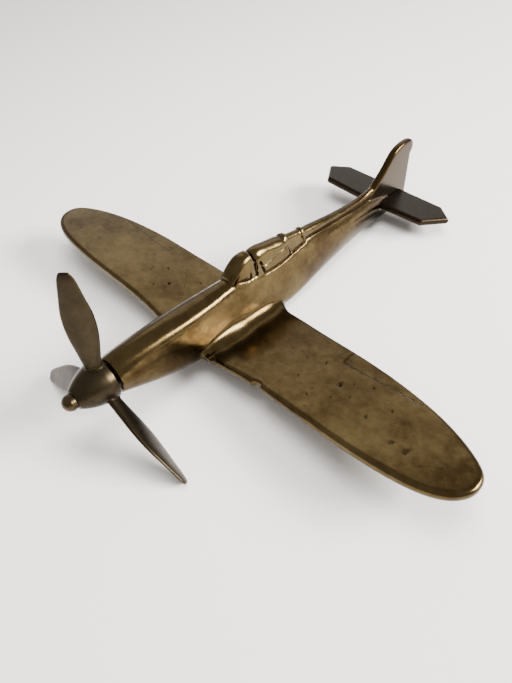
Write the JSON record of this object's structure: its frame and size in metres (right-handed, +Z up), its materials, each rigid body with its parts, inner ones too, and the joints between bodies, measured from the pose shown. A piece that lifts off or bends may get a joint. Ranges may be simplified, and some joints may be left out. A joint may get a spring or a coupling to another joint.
{
  "type": "propeller plane model",
  "caption": "Cast brass desk model of a low-wing, single-engined fighter aeroplane with a turning three-blade propeller, resting nose-up on its blade tips and tail.",
  "frame": {"origin": "centre of the bounding box on the table, under the resting model", "axes": "+X to port along the span, +Y aft towards the tail, +Z up from the table; the airframe is tipped nose up by 7.27 degrees about X"},
  "size_m": [0.1494, 0.1362, 0.046],
  "materials": {
    "aged_brass": "hand polished cast brass with a brown patina, satin to glossy",
    "dark_brass": "cast brass with a heavier brown patina, satin",
    "pin_brass": "turned brass, worn semi-bright"
  },
  "bodies": {
    "airframe": {"airframe_casting": "aged_brass", "tailplane": "dark_brass", "propeller_pin": "pin_brass", "thrust_washer": "pin_brass"},
    "propeller": {"propeller": "dark_brass"}
  },
  "joints": [
    {"name": "propeller_spin", "type": "hinge", "parent": "airframe", "child": "propeller", "pos_m": [0, -0.05556, 0.01545], "axis": [0.0958, -0.9874, 0.126], "continuous": true}
  ]
}
